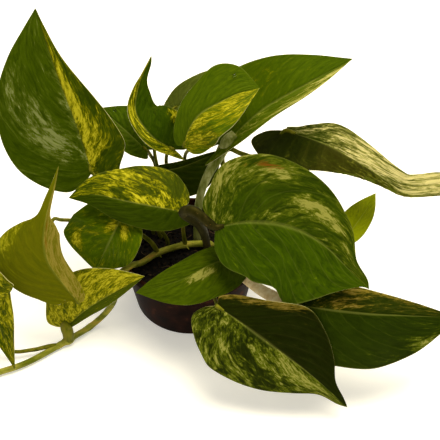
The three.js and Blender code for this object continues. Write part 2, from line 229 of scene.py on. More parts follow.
# Dry brown fibre of bark and coir
fibre_stuff, tree, shader = new_material("soil_dry_fibre")
place = add(tree, "ShaderNodeTexCoord")["Object"]
strands = add(tree, "ShaderNodeTexNoise", {"Vector": place, "Scale": 300.0, "Detail": 4.0})["Fac"]
straw = add(tree, "ShaderNodeValToRGB", {"Fac": strands}, stops=[
    (0.3, linear("#2c1c10")), (0.7, linear("#6a4d2c"))])["Color"]
tree.links.new(straw, shader.inputs["Base Color"])
shader.inputs["Roughness"].default_value = 0.85

# The fill starts as a ball: its upper cap is spread into the waved top, its lower cap into the
# flat underside, and the belt between them into the side
bpy.ops.mesh.primitive_uv_sphere_add(segments=128, ring_count=96, radius=1)
soil = bpy.context.object
soil.name = "soil_fill"
ball = read_points(soil)
bearing = np.arctan2(ball[:, 1], ball[:, 0])
from_top = np.arccos(np.clip(ball[:, 2], -1, 1)) / math.pi
spread = (np.minimum(from_top, 1 - from_top) / SOIL_CAP).clip(0, 1)
level = ((1 - SOIL_CAP - from_top) / (1 - 2 * SOIL_CAP)).clip(0, 1)
wall = np.interp(level, (0, 1), (SOIL_FLOOR_RADIUS, SOIL_RADIUS))
x = spread * wall * np.cos(bearing)
y = spread * wall * np.sin(bearing)
waves = (np.sin(0.31 * x + 1) * np.cos(0.27 * y) + 0.5 * np.sin(0.83 * x) * np.sin(0.71 * y + 2)
         + 0.3 * np.sin(1.9 * x + 0.6 * y) * np.cos(1.7 * y - 0.4 * x))
top = SOIL_LEVEL + SOIL_WAVE * waves * (1 - spread ** 6) - SOIL_DROP * spread ** 8
z = SOIL_FLOOR + level * (top - SOIL_FLOOR)
move_points(soil, np.stack([x, y, z], 1))
tidy_mesh(soil)
soil.data.materials.append(soil_mix)
settle(soil, "soil")

draw = random.Random(41)
crumbs = []
for number in range(CRUMBS):
    bearing, out = draw.uniform(0, 2 * math.pi), SOIL_RADIUS * math.sqrt(draw.random())
    size = draw.uniform(*(CRUMB_SIZES if draw.random() < 1 - BARK_SHARE else BARK_SIZES))
    height = SOIL_LEVEL + CRUMB_RISE * size - SOIL_DROP * (out / POT_INSIDE) ** 8
    bpy.ops.mesh.primitive_ico_sphere_add(
        subdivisions=2, radius=1,
        location=(out * math.cos(bearing) * MM, out * math.sin(bearing) * MM, height * MM),
        rotation=(draw.uniform(0, 3), draw.uniform(0, 3), draw.uniform(0, 3)),
        scale=(size * MM, size * draw.uniform(*CRUMB_WIDTHS) * MM,
               size * draw.uniform(*CRUMB_THICKNESS) * MM))
    crumbs.append(bpy.context.object)
crumb_mass = join(crumbs, "soil_crumbs")
bpy.ops.object.transform_apply(location=True, rotation=True, scale=True)
crumb_mass.data.materials.append(soil_mix)
tidy_mesh(crumb_mass, gap=0.0001 * MM, angle=80)
settle(crumb_mass, "soil")


def smooth(points, even=False):
    """A smooth course through points, as many short steps: centripetal, or even for a margin."""
    p = np.array(points, float)
    ends = (p[0], p[-1]) if even else (2 * p[0] - p[1], 2 * p[-1] - p[-2])
    p = np.vstack([ends[0], p, ends[1]])
    t = np.linspace(0, 1, 48, endpoint=False)[:, None]
    course = []
    for a, b, c, d in zip(p, p[1:], p[2:], p[3:]):
        gaps = [1.0 if even else max(np.linalg.norm(r - q), 1e-8) ** 0.5
                for q, r in ((a, b), (b, c), (c, d))]
        leave = ((b - a) / gaps[0] - (c - a) / (gaps[0] + gaps[1]) + (c - b) / gaps[1]) * gaps[1]
        reach = ((c - b) / gaps[1] - (d - b) / (gaps[1] + gaps[2]) + (d - c) / gaps[2]) * gaps[1]
        course.append(b + leave * t + (3 * (c - b) - 2 * leave - reach) * t ** 2
                      + (2 * (b - c) + leave + reach) * t ** 3)
    return np.vstack([*course, p[-2]])


def runs(course):
    """Distance from the course's start to each of its points."""
    return np.concatenate([[0], np.cumsum(np.linalg.norm(np.diff(course, axis=0), axis=1))])


def along(course, share):
    """Places on a course at shares of its length."""
    run = runs(course)
    return np.stack([np.interp(np.asarray(share) * run[-1], run, axis) for axis in course.T], -1)


def tube(name, course, radii, steps):
    """A closed round tube along a course in millimetres, its radius changing by share of length."""
    shares = np.linspace(0, 1, steps + 1)
    data = bpy.data.curves.new(name, "CURVE")
    data.dimensions = "3D"
    data.bevel_depth = MM
    data.bevel_resolution = 5
    data.use_fill_caps = True
    spline = data.splines.new("POLY")
    spline.points.add(steps)
    for point, place, radius in zip(spline.points, along(course, shares), np.interp(shares, *radii)):
        point.co = (*(place * MM), 1)
        point.radius = radius
    piece = bpy.data.objects.new(name, data)
    bpy.context.collection.objects.link(piece)
    only(piece)
    bpy.ops.object.convert(target="MESH")
    piece = bpy.context.object
    tidy_mesh(piece, angle=60)
    return piece


fibres = []
for number in range(FIBRES):
    bearing, out = draw.uniform(0, 2 * math.pi), FIBRE_REACH * math.sqrt(draw.random())
    turn, length = draw.uniform(0, 2 * math.pi), draw.uniform(*FIBRE_LENGTHS)
    start = np.array([out * math.cos(bearing), out * math.sin(bearing), SOIL_LEVEL + 0.4])
    bow = (length * math.cos(turn) / 2, length * math.sin(turn) / 2, draw.uniform(*FIBRE_ARCHES))
    turn += FIBRE_TURN
    end = start + (length * math.cos(turn), length * math.sin(turn), -0.3)
    end[:2] *= min(1, (SOIL_RADIUS - 1) / max(np.hypot(*end[:2]), 1))
    fibres.append(tube("fibre", smooth([start, start + bow, end]), FIBRE_THICKNESS, 8))
fibre_mass = join(fibres, "soil_fibres")
fibre_mass.data.materials.append(fibre_stuff)
settle(fibre_mass, "soil")

# -----------------------------------------------------------------------------
# Vine: one trailing stem, round and waxy, green turning yellow, with a swollen ringed node every
# few centimetres and short roots on the two just over the soil. It grows out of the soil, over
# the rim and along the surface, and ends in a pointed growing tip.
# -----------------------------------------------------------------------------
NODES = {
    "rooted": (-4, 3, 52.8), "creeping": (-25, -6, 52.8), "landed": (-79, -38, 3.1),
    "gold": (-94, -52, 4.2), "fork": (-101, -57, 3.2), "outer": (-145, -84, 3.1),
}
VINE = [
    (17, 6, 39), (17, 6, 46), (15.5, 5.5, 51), (9, 4, 53.2), NODES["rooted"], NODES["creeping"],
    (-37, -19, 55), (-45, -27, 59.6), (-52, -31, 56), (-56, -32, 44), (-58, -32, 30),
    (-62, -31, 19), (-69, -32, 9), NODES["landed"], NODES["gold"], NODES["fork"], (-125, -75, 3.1),
    NODES["outer"], (-158, -88, 3.1),
]
VINE_RADIUS = 2.6
VINE_STEPS = 420
# Share of its thickness that the vine loses on its way
VINE_TAPER = 0.12
# How far a node swells and over what length: the thick one under leaf_vine_gold, the others, and
# the narrow ring round every one
KNOT = (1.9, 3.6)
KNUCKLE = (0.5, 2.2)
RING = (-0.35, 0.5)
# The growing tip and the short roots: radius at shares of their length, and for the roots of a
# node also the way each heads, how far its points reach and how the last one hooks down
TIP_THICKNESS = ([0, 0.35, 0.7, 1], [1.7, 2.3, 1.6, 0.3])
ROOT_WAYS = ((0.6, -1, -0.1), (-0.9, 0.7, 0.1), (-0.3, -1, 0.5))
ROOT_REACHES = (0, 2.4, 4.4)
ROOT_HOOK = (0.3, 0.2, -0.3)
ROOT_THICKNESS = ([0, 0.7, 1], [0.6, 0.4, 0.2])


def stem_material(name, dark, middle, light, streak_scale=(260, 260, 40)):
    """Waxy living stem: streaks of three tones run along it, with a few brown corky specks."""
    material, tree, shader = new_material(name)
    place = add(tree, "ShaderNodeTexCoord")["Object"]
    drawn = add(tree, "ShaderNodeMapping", {"Vector": place, "Scale": streak_scale})["Vector"]
    streak = add(tree, "ShaderNodeTexNoise", {"Vector": drawn, "Scale": 1.0, "Detail": 5.0})["Fac"]
    tone = add(tree, "ShaderNodeValToRGB", {"Fac": streak}, stops=[
        (0.36, linear(dark)), (0.55, linear(middle)), (0.75, linear(light))])["Color"]
    specks = add(tree, "ShaderNodeTexNoise", {"Vector": place, "Scale": 700.0, "Detail": 2.0})["Fac"]
    cork = add(tree, "ShaderNodeValToRGB", {"Fac": specks}, stops=[
        (0.68, linear("#000000")), (0.74, linear("#ffffff"))])["Color"]
    mixed = add(tree, "ShaderNodeMix", {0: cork, 6: tone, 7: linear("#5a4420")}, data_type="RGBA")[2]
    tree.links.new(mixed, shader.inputs["Base Color"])
    shader.inputs["Roughness"].default_value = 0.55
    shader.inputs["Specular IOR Level"].default_value = 0.2
    shader.inputs["Specular Tint"].default_value = linear("#e4cc30")
    skin = add(tree, "ShaderNodeBump", {"Height": streak, "Strength": 0.25, "Distance": 0.4 * MM})
    tree.links.new(skin["Normal"], shader.inputs["Normal"])
    return material


vine_skin = stem_material("vine_waxy_stem", "#525c12", "#8c8c34", "#a8843a", (60, 90, 240))
course = smooth(VINE)
run = runs(course)
shares = np.linspace(0, 1, VINE_STEPS + 1)
radii = np.full(VINE_STEPS + 1, VINE_RADIUS)
for node, place in NODES.items():
    away = shares * run[-1] - run[np.argmin(np.linalg.norm(course - place, axis=1))]
    for rise, reach in (KNOT if node == "gold" else KNUCKLE, RING):
        radii = radii + rise * np.exp(-(away / reach) ** 2)
radii = radii * (1 - VINE_TAPER * shares)
last = np.array(VINE[-1])
tip = smooth([last - (6, 2, 0), last, last + (4, -1, 1.2), last + (8, -1, 4)])
grown = [tube("vine", course, (shares, radii), VINE_STEPS), tube("tip", tip, TIP_THICKNESS, 24)]
for name in ("rooted", "creeping"):
    for way in ROOT_WAYS:
        root = np.array(NODES[name]) + np.outer(ROOT_REACHES, way) + np.outer((0, 0, 1), ROOT_HOOK)
        grown.append(tube("root", smooth(root), ROOT_THICKNESS, 10))
vine = join(grown, "vine_stem_main")
vine.data.materials.append(vine_skin)
settle(vine, "vine_stem")

# -----------------------------------------------------------------------------
# Leaves: eighteen heart-shaped pothos leaves, waxy and marbled, each blade grown in one piece
# with its stalk. A blade is a grid swept from the midrib forward to the margin, as its veins run.
# -----------------------------------------------------------------------------
ROWS = 84
COLUMNS = 60
BLADE_THICKNESS = 0.6
# Side veins along the midrib, and how far forward they run in the left and in the right half
VEINS = 11
LEAN = (0.3, 0.3)
# Relief: height of the swellings between side veins, height and number of the waves in a margin
# WAVED_WIDTH from its midrib, depth and width of the groove over the midrib
QUILT = 0.55
WAVE = 0.5
WAVES = 2.6
WAVED_WIDTH = 40
GROOVE = 0.7
GROOVE_WIDTH = 1.5
STALK_RADIUS = 1.5
STALK_STEPS = 72
# Heights of a stalk's first points, which rise upright out of the soil, and the share of the
# midrib along which it grows into the blade
STALK_FOOT = (39, 43.5, 50)
LANDING = 0.05
# Thickness of a stalk at shares of its length: a sheath at its foot and a knuckle at the blade
SWELL = ([0, 0.1, 0.3, 0.55, 0.75, 0.92, 1], [1.35, 1.15, 1, 0.95, 0.95, 1.1, 0.6])
# A leaf has the midrib's course from stalk to tip (spine), the way its upper side faces, its two
# halves, the share of the midrib that is a narrow tip (drip), and its stalk: the foot in the soil
# or the node on the vine, and the points it passes. A half has its width, its fold at the midrib
# and bend towards the margin in radians, how far its lobe reaches back, where it is widest
# (belly), and how much it is slimmer towards the tip, drawn in at the base or flared at the tip.
# Its look has the amount and tone of marbling in each half (on leaf_tall_left and leaf_front_green
# partly a painted sheen), the seed of its noise, the blade's two greens and the tint of its
# underside, how far each half is darkened by painted shade and brightened by painted light, how
# strong its veins and midrib show, how far its veins lean forward, and the skin of its stalk.
# Patches with more or less marbling have place across and along, reach across and along, and gain;
# spots, both brown spots and dark patches of painted shadow, have place across and along, reach,
# raggedness and colour.
LEAVES = {
    "leaf_tall_left": dict(
        spine=[(-75, 29, 105), (-86, 48, 135), (-100, 68, 170), (-115, 97, 208)],
        face=(0, -0.73, 0.68),
        left=dict(width=57, fold=0.1, bend=-0.2, lobe=0.07, belly=0.36),
        right=dict(width=34, fold=0.35, bend=0.1, lobe=0.14, belly=0.16, slim=1.3),
        foot=(-24, 16), stalk=[(-34, 20, 70), (-56, 26, 92)],
        # The pale sage tone on the left half, gathered by the first three patches, is a painted sheen.
        look=dict(left=(0.26, "sage_sheen"), right=(0.36, "gold"), seed=1.3, lean=(0.42, 0.4), veins=0.3,
                  # The dark vein lines are painted shade in the grooves along the side veins.
                  vein="#203004", midrib=0.1,
                  patches=[(0.32, 0.38, 0.15, 0.16, 0.42), (0.22, 0.52, 0.16, 0.16, 0.4),
                           (0.1, 0.64, 0.12, 0.14, 0.35), (0.58, 0.4, 0.2, 0.6, 0.3)])),
    "leaf_curled_left": dict(
        spine=[(-82, -55, 48), (-94, -47, 62), (-104, -39, 76), (-107, -31, 88), (-105, -19, 103),
               (-100, -2, 116), (-97, 13, 125)],
        face=(-0.1, 0.8, -0.6),
        left=dict(width=12, fold=0.1, bend=0.1, lobe=0, belly=0.5),
        right=dict(width=41, fold=0.1, bend=0.3, lobe=-0.08, belly=0.42, slim=0.5, drawn=0.9),
        drip=0.32, node="creeping",
        stalk=[(-31, -6, 66), (-58, 9, 72), (-84, 7, 75), (-97, -2, 84), (-102, -9, 91),
               (-104, -18, 86), (-98, -35, 70), (-88, -49, 54)],
        look=dict(left=(0.7, "tan"), right=(0.16, "gold"), seed=8.1, deep="#565a06", green="#7a740a",
                  under="#5c6406", patches=[(0.25, 0.85, 0.3, 0.35, 0.6), (0.95, 0.62, 0.2, 0.3, 0.6)],
                  spots_and_shade=[(0.4, 0.7, 0.05, 0.1, "#8a4a12"), (0.42, 0.6, 0.05, 0.1, "#96561a")])),
    "leaf_low_left": dict(
        spine=[(-50, -9, 95), (-57, -20, 85), (-64, -24, 71), (-71, -29, 57)],
        face=(-0.1, -0.65, 0.75),
        left=dict(width=23, fold=0.2, bend=-0.2, lobe=0.1, belly=0.45),
        right=dict(width=35.7, fold=0.1, bend=-0.3, lobe=0.1, belly=0.62, slim=-0.55),
        foot=(-18, 9), stalk=[(-22, 6, 64), (-36, 0, 86)],
        look=dict(left=(0.3, "gold"), right=(0.27, "gold"), seed=3.7, deep="#344a02", green="#567004",
                  patches=[(0.55, 0.36, 0.09, 0.2, 0.55), (0.87, 0.65, 0.09, 0.14, 0.55),
                           (0.33, 0.39, 0.1, 0.16, 0.5)])),
    "leaf_vine_gold": dict(
        spine=[(-95, -49, 16), (-76, -47, 35), (-57, -46, 50), (-33, -44, 66)],
        face=(0, -0.75, 0.66),
        left=dict(width=31, fold=0.1, bend=0.1),
        right=dict(width=6.5, fold=0.1, bend=0.1, lobe=0, belly=0.45, drawn=0.5),
        node="gold", stalk=[(-94, -51, 11)], thick=4.2, swell=[1, 1, 1.05, 1.1, 1.1, 1, 0.8],
        look=dict(left=(0.6, "gold"), right=(0.2, "gold"), seed=2.2, deep="#38480a", green="#566204")),
    "leaf_left_gold": dict(
        spine=[(-4, -15, 104), (-46, -12, 112), (-69, -7, 114), (-89, -6, 110)],
        face=(0, -0.25, 0.97),
        left=dict(width=18, fold=-0.7, bend=-0.2, lobe=0.08),
        right=dict(width=32, fold=0.3, bend=-0.3, lobe=0.03),
        node="rooted", stalk=[(-5, 1, 66), (-5, -6, 86)],
        look=dict(left=(0.0, "lime"), right=(0.43, "gold"), seed=5.5, deep="#1e3002", green="#3c5004",
                  patches=[(0.78, 0.6, 0.2, 0.16, 0.2), (0.56, 0.45, 0.07, 0.2, 0.25),
                           (0.9, 0.3, 0.24, 0.16, -0.4), (0.66, 0.68, 0.1, 0.08, -0.3)])),
    "leaf_back_small": dict(
        spine=[(-34, 41, 118), (-50, 52, 128), (-70, 74, 132)], face=(0.2, -0.7, 0.7),
        left=dict(width=13, fold=0.1, bend=0.1), right=dict(width=22, fold=0.1, bend=0.1),
        foot=(-26, 33), stalk=[(-27, 44, 70), (-28, 53, 92), (-31, 50, 104)],
        look=dict(left=(0.05, "lime"), right=(0.05, "lime"), seed=4.4, deep="#2c4204", green="#4c6406")),
    "leaf_back_narrow": dict(
        spine=[(-12, 31, 126), (-28, 32, 138), (-40, 46, 150), (-38, 57, 164), (-28, 70, 184)],
        face=(0.3, -0.7, 0.6),
        left=dict(width=8, fold=0.2, bend=0.1),
        right=dict(width=27, fold=0.3, bend=0.1, lobe=0.12, belly=0.22, slim=0.5),
        drip=0.12, foot=(-16, 32), stalk=[(-18, 46, 80), (-19, 52, 100), (-15, 45, 117)],
        look=dict(left=(0.5, "gold"), right=(0.1, "gold"), seed=6.9, deep="#1e3402", green="#3c5604",
                  patches=[(0.97, 0.42, 0.2, 0.16, 0.6)])),
    "leaf_back_grey": dict(
        spine=[(-12, 66, 138), (2, 65, 149), (20, 70, 159), (42, 80, 163)], face=(0, -0.6, 0.8),
        left=dict(width=14, fold=0.1, bend=0.1), right=dict(width=14, fold=0.1, bend=0.1),
        foot=(-22, 40), stalk=[(-24, 46, 80), (-28, 54, 112), (-22, 64, 130)],
        look=dict(left=(0.05, "lime"), right=(0.05, "lime"), seed=7.7, deep="#505c1c", green="#68742c")),
    "leaf_centre_gold": dict(
        spine=[(-4, 18, 140), (0, 22, 152), (8, 26, 163), (21, 30, 170), (37, 36, 175), (52, 42, 175)],
        face=(0, -0.6, 0.8),
        left=dict(width=24, fold=0.2, bend=0.1, lobe=0.01, belly=0.6, slim=-0.8, drawn=0.9),
        right=dict(width=25, fold=0.2, bend=0.1, lobe=0.03, belly=0.4),
        foot=(-6, 40), stalk=[(-5, 47, 80), (-4, 51, 104), (5, 35, 126)],
        look=dict(left=(0.16, "lime"), right=(0.5, "gold"), seed=9.2, deep="#3c5406", green="#5a7008",
                  lean=(0.3, 0.45))),
    "leaf_back_long": dict(
        spine=[(29, 30, 136), (55, 48, 150), (83, 62, 160), (126, 100, 160)], face=(0, -0.6, 0.8),
        left=dict(width=38.2, fold=0.2, bend=0.1, lobe=0.2, belly=0.24, slim=0.35),
        right=dict(width=10, fold=0.2, bend=0.1, lobe=0.2),
        foot=(5, 14), stalk=[(6, 15, 78), (9, 18, 96), (15, 22, 111), (23, 26, 125)], thick=3,
        swell=[1, 1, 1, 1.05, 1.3, 1.6, 1.2],
        look=dict(left=(0.1, "gold"), right=(0.35, "cream"), seed=11.3, deep="#384e02", green="#4e6404",
                  stalk="pale", patches=[(0.1, 0.3, 0.14, 0.1, 0.4), (0.9, 0.75, 0.3, 0.3, 0.4)])),
    "leaf_big_right": dict(
        spine=[(20, -43, 115), (44, -45, 122), (73, -47, 119), (96, -55, 110), (114, -69, 99),
               (128, -81, 91)],
        face=(0.1, -0.5, 0.85),
        left=dict(width=49, fold=0.1, bend=0.1, lobe=0.06, belly=0.3, slim=0.4),
        right=dict(width=45, fold=-0.2, bend=-0.2, lobe=0.02, belly=0.5, slim=-1.7, flare=0.35),
        drip=0.08, foot=(13, -18), stalk=[(13, -22, 78), (8, -29, 104), (-3, -33, 120), (4, -38, 126)],
        thick=2.8, swell=[0.9, 0.9, 1, 1.3, 1.5, 1.25, 0.5],
        look=dict(left=(0.36, "moss"), right=(0.16, "lime"), seed=12.6, deep="#203404", green="#3e5604",
                  spots_and_shade=[(0.07, 0.47, 0.03, 0.26, "#7a4a14")], stalk="olive", lean=(0.34, 0.3),
                  # Painted shade dims the upper, left half; painted light brightens the lower, right
                  # half, lit through from behind.
                  painted_light_by_half=(0.85, 1.2), veins=0.12, vein="#8a9040", midrib=0.2,
                  patches=[(0.1, 0.36, 0.24, 0.2, 0.3), (0.05, 0.5, 0.18, 0.14, 0.3),
                           (0.22, 0.64, 0.12, 0.12, 0.22), (0.2, 0.74, 0.1, 0.14, 0.2),
                           (0.3, 0.2, 0.2, 0.16, 0.2), (0.32, 0.42, 0.12, 0.14, -0.5)])),
    "leaf_right_cream": dict(
        spine=[(74, 62, 119), (92, 49, 122), (107, 38, 123), (120, 30, 120), (134, 20, 117),
               (149, 12, 110), (161, 8, 103), (175, 6, 102), (188, 6, 103), (215, 8, 103),
               (239, 12, 102)],
        face=(0, -0.4, 0.9),
        left=dict(width=19, fold=0.1, bend=0.1, lobe=0, belly=0.22, slim=-0.8, drawn=0.85, flare=1),
        right=dict(width=25, fold=-0.1, bend=0.1, lobe=0.12, belly=0.2, slim=2.5, drawn=-1.3,
                   flare=0.75),
        foot=(26, 24), stalk=[(28, 40, 84), (25, 46, 107), (30, 47, 113), (39, 49, 107), (52, 52, 101),
                               (66, 57, 109)], thick=2,
        look=dict(left=(0.42, "ivory"), right=(0.12, "cream"), seed=14.1, deep="#1c2804",
                  # Painted light brightens the far, left half, which faces up to the light; painted shade
                  # darkens the near, right half, which faces down away from it.
                  green="#34420a", painted_light_by_half=(1.18, 0.54),
                  patches=[(0.25, 0.62, 0.4, 0.35, 0.42), (0.7, 0.8, 0.4, 0.34, 0.6)])),
    "leaf_right_small": dict(
        spine=[(118, -7, 68), (133, 14, 74), (145, 35, 78)], face=(-0.2, -0.6, 0.75),
        left=dict(width=13, fold=0.1, bend=0.1), right=dict(width=10, fold=0.1, bend=0.1),
        foot=(38, 2), stalk=[(52, 0, 66), (90, -10, 72)],
        # Its bright yellow-green greens are painted light: light shining through the leaf, which in the
        # scene lies in the shade of the leaves above it.
        look=dict(left=(0.25, "lime"), right=(0.2, "lime"), seed=15.8, deep="#788404", green="#929c0a")),
    "leaf_shade": dict(
        spine=[(-35, 45, 90), (-6, 44, 98), (26, 58, 104)], face=(0, -0.75, 0.65),
        left=dict(width=5, fold=0.1, bend=0.1), right=dict(width=24, fold=0, bend=0.1, belly=0.5),
        foot=(-30, 22), stalk=[(-34, 34, 70)],
        # Its very dark greens are painted shade: the leaf lies in shade under leaf_centre_gold.
        look=dict(left=(0.0, "lime"), right=(0.0, "lime"), seed=16.6, deep="#1c2a04", green="#2c3c05")),
    "leaf_front_right": dict(
        spine=[(73, -77, 72), (97, -84, 74), (129, -85, 70), (152, -82, 65), (196, -78, 58)],
        face=(0, -0.4, 0.9),
        left=dict(width=20, fold=0, bend=0.1, lobe=0.05, slim=0.3),
        right=dict(width=41, fold=-0.5, bend=-0.2, lobe=0.05, belly=0.3, slim=-0.6),
        foot=(31, -25), stalk=[(37, -37, 61), (54, -62, 69)], thick=3.6,
        swell=[0.8, 0.85, 0.95, 1.1, 1.25, 1.3, 0.9],
        look=dict(left=(0.28, "tan"), right=(0.1, "moss"), seed=17.9, deep="#182804", green="#2c3e06",
                  # Painted shade darkens the far, left half; the first patch is painted light, pale
                  # marbling along the far margin where it catches the light.
                  stalk="cream", painted_light_by_half=(0.8, 1.0),
                  patches=[(0.04, 0.5, 0.15, 0.5, 0.3), (0.95, 0.78, 0.2, 0.22, 0.5),
                           (0.97, 0.2, 0.12, 0.12, 0.6)])),
    "leaf_front_heart": dict(
        spine=[(21, -80, 72), (36, -90, 68), (57, -100, 56), (87, -112, 36), (115, -125, 14)],
        face=(-0.3, -0.6, 0.7),
        left=dict(width=37, fold=0, bend=0.1, lobe=0.02, belly=0.42, drawn=0.85),
        right=dict(width=40, fold=-0.1, bend=-0.1, lobe=0.1, belly=0.33, slim=0.3, drawn=-0.2),
        drip=0.1, foot=(12, -34), stalk=[(14, -44, 59), (19, -60, 60), (21, -72, 64)],
        look=dict(left=(0.0, "tan"), right=(0.42, "moss"), seed=19.4, deep="#121c04", green="#26360a",
                  # Painted shade darkens the plain left half, in the shadow of leaf_big_right above it.
                  painted_light_by_half=(0.62, 1.05), patches=[(0.0, 0.25, 0.22, 0.45, 0.8), (0.66, 0.8, 0.2, 0.2, 0.12)])),
    "leaf_front_green": dict(
        spine=[(36, -34, 80), (14, -51, 84), (-5, -57, 76), (-39, -58, 63)], face=(0, -0.5, 0.85),
        left=dict(width=24, fold=-0.1, bend=-0.1), right=dict(width=12.5, fold=0.1, bend=0.1, belly=0.5),
        foot=(26, -14), stalk=[(34, -20, 66)],
        look=dict(left=(0.08, "moss"), right=(0.05, "moss"), seed=21.2, deep="#324604", green="#566c06",
                  # The patch of pale moss tone by the midrib is a painted sheen.
                  midrib=0.15, patches=[(0.42, 0.55, 0.13, 0.2, 0.9)],
                  # The dark spot at the base is a painted shadow of leaf_big_right.
                  spots_and_shade=[(0.5, 0.05, 0.52, 0.1, "#0e1a02")])),
    "leaf_vine_low": dict(
        spine=[(-150, -52, 60), (-142, -67, 38), (-131, -84, 7)], face=(-0.2, -0.8, 0.5),
        left=dict(width=20, fold=0.1, bend=0.1, lobe=0.25, belly=0.05, slim=0.6, drawn=-0.7),
        right=dict(width=11, fold=0.1, bend=0.1, slim=0.8),
        node="fork",
        stalk=[(-108, -59.5, 5), (-120, -63.5, 5.5), (-137, -66, 8), (-147, -56, 28),
               (-151, -49, 48)],
        look=dict(left=(0.45, "gold"), right=(0.45, "gold"), seed=23.5)),
}
# The two pale tones of each kind of marbling, and of the sage tone, which is a painted sheen: where it
# starts and where it is strongest
TONES = {
    "gold": ("#828206", "#c8c028"), "cream": ("#727820", "#b8b464"), "lime": ("#586c08", "#8e9620"),
    "sage_sheen": ("#54621c", "#7f8850"), "tan": ("#8a7a26", "#b39c4c"), "moss": ("#5e6a14", "#a0a04c"),
    "ivory": ("#7c7c3c", "#cac084"),
}
# The marbling's noise, drawn out along the side veins, in three fields from broad to fine: scale,
# detail, distortion and weight in the sum. FULLEST is the most that a leaf's own amount adds.
FIELDS = [
    ((1.7, 5.5, 1), 6.0, 1.1, 1.2), ((5.5, 20, 1), 8.0, 1.3, 1.3), ((18, 52, 1), 4.0, 0.8, 0.8),
]
FULLEST = 0.62
# Sums between which the marbling's strongest tone, its pale tone and the milky zone round it come
# in, and how much of each there is at most
STRONG = (2.22, 2.34, 1)
PALE = (2.1, 2.15, 1)
MILKY = (1.96, 2.12, 0.35)
# Where the lines on a blade begin and are full: a side vein as a share of the gap between veins,
# the rim and the midrib as shares of the way from midrib to margin
VEIN_LINE = (0.05, 0.0)
RIM_LINE = (0.975, 1.0)
MIDRIB_LINE = (0.045, 0.015)
# Roughness of the upper side and the underside, from the streaks' lowest to their highest
WAXINESS = {"upper": (0.4, 0.56), "under": (0.55, 0.7)}
# Share of light that a blade lets through, and share of fresh green in that light
GLOW = 0.32
GLOW_GREEN = 0.4
# Share of the midrib each way over which its heading is taken
HEADING_STEP = 0.004


def margin_of(half, drip):
    """One half's margin: share of the midrib against share of the half's width."""
    lobe, belly = half.get("lobe", 0.12), half.get("belly", 0.3)
    slim, drawn, flare = half.get("slim", 0), half.get("drawn", 0), half.get("flare", 0)
    front = 1 - drip
    taper = [belly + (front - belly) * share for share in (0.34, 0.64, 0.86)]
    points = [(0, 0), (-0.7 * lobe, 0.15 - 0.05 * drawn), (-lobe, 0.4 - 0.24 * drawn),
              (-0.4 * lobe + 0.05, 0.72 - 0.43 * drawn), (0.45 * belly, 0.94 - 0.4 * drawn),
              (belly, 1), (taper[0], 0.87 - 0.2 * slim - 0.3 * flare),
              (taper[1], 0.56 - 0.25 * slim + 0.15 * flare),
              (taper[2], 0.23 - 0.12 * slim + 0.2 * flare)]
    if drip:
        points.append((1 - drip * 0.6, 0.09))
    return smooth([*points, (1, 0)], even=True)


def blade_points(leaf, turn, sweep):
    """Middle surface of the blade, in millimetres. sweep runs from -1, left margin, to 1, right."""
    course = smooth(leaf["spine"])
    length = runs(course)[-1]
    far = np.abs(sweep)
    edges = {side: along(margin_of(leaf[side], leaf.get("drip", 0)), turn)
             for side in ("left", "right")}
    left = sweep < 0
    edge = np.where(left[:, None], edges["left"], edges["right"])
    pick = {key: np.where(left, leaf["left"][key], leaf["right"][key])
            for key in ("width", "fold", "bend")}
    share = turn ** 1.5 * (1 - far) + edge[:, 0] * far
    inside = np.clip(share, 0, 1)
    ahead = (along(course, np.minimum(inside + HEADING_STEP, 1))
             - along(course, np.maximum(inside - HEADING_STEP, 0)))
    ahead /= np.linalg.norm(ahead, axis=1)[:, None]
    face = np.array(leaf["face"])
    up = face - ahead * (ahead @ face)[:, None]
    up /= np.linalg.norm(up, axis=1)[:, None]
    across = np.cross(ahead, up)
    out = edge[:, 1] * far * pick["width"]
    angle = pick["fold"] + pick["bend"] * edge[:, 1] * far / 2
    middle = along(course, inside) + ahead * ((share - inside) * length)[:, None]
    return (middle + across * (np.sign(sweep) * out * np.cos(angle))[:, None]
            + up * (out * np.sin(angle))[:, None])


def relief(leaf, turn, sweep):
    """How far each point of the blade rises: quilted between veins, waved and grooved."""
    left, far = sweep < 0, np.abs(sweep)
    width = np.where(left, leaf["left"]["width"], leaf["right"]["width"])
    lean = np.where(left, *leaf["look"].get("lean", LEAN))
    quilt = np.abs(np.sin(math.pi * VEINS * (turn - lean * far))) ** 0.7
    swelling = QUILT * (quilt - 0.6) * np.sin(math.pi * far ** 0.8)
    wave = np.sin(2 * math.pi * (WAVES * turn + 0.17 * leaf["look"]["seed"]))
    waving = WAVE * far ** 3 * wave * width / WAVED_WIDTH
    groove = GROOVE * np.exp(-(far * width / GROOVE_WIDTH) ** 2)
    lift = (swelling + waving - groove) * np.sin(math.pi * np.clip(turn, 0, 1)) ** 0.5
    lift[(turn < 1e-6) | (turn > 1 - 1e-6)] = 0
    return lift


def blade_place(tree, look):
    """Where a point lies: its map, its share from midrib to margin, its half and its vein line."""
    uv = add(tree, "ShaderNodeUVMap", uv_map="UVMap")["UV"]
    grid = add(tree, "ShaderNodeSeparateXYZ", {0: uv})
    signed = add(tree, "ShaderNodeMath", {0: grid["X"], 1: 2.0, 2: -1.0}, operation="MULTIPLY_ADD")[0]
    sweep = add(tree, "ShaderNodeMath", {0: signed}, operation="ABSOLUTE")[0]
    right = add(tree, "ShaderNodeMath", {0: signed, 1: 0.0}, operation="GREATER_THAN")[0]
    lean = look.get("lean", LEAN)
    back = add(tree, "ShaderNodeMix", {0: right, 2: -lean[0], 3: -lean[1]})[0]
    onward = add(tree, "ShaderNodeMath", {0: sweep, 1: back, 2: grid["Y"]}, operation="MULTIPLY_ADD")[0]
    vein_way = add(tree, "ShaderNodeCombineXYZ", {"X": signed, "Y": onward, "Z": look["seed"]})[0]
    return uv, sweep, right, onward, vein_way


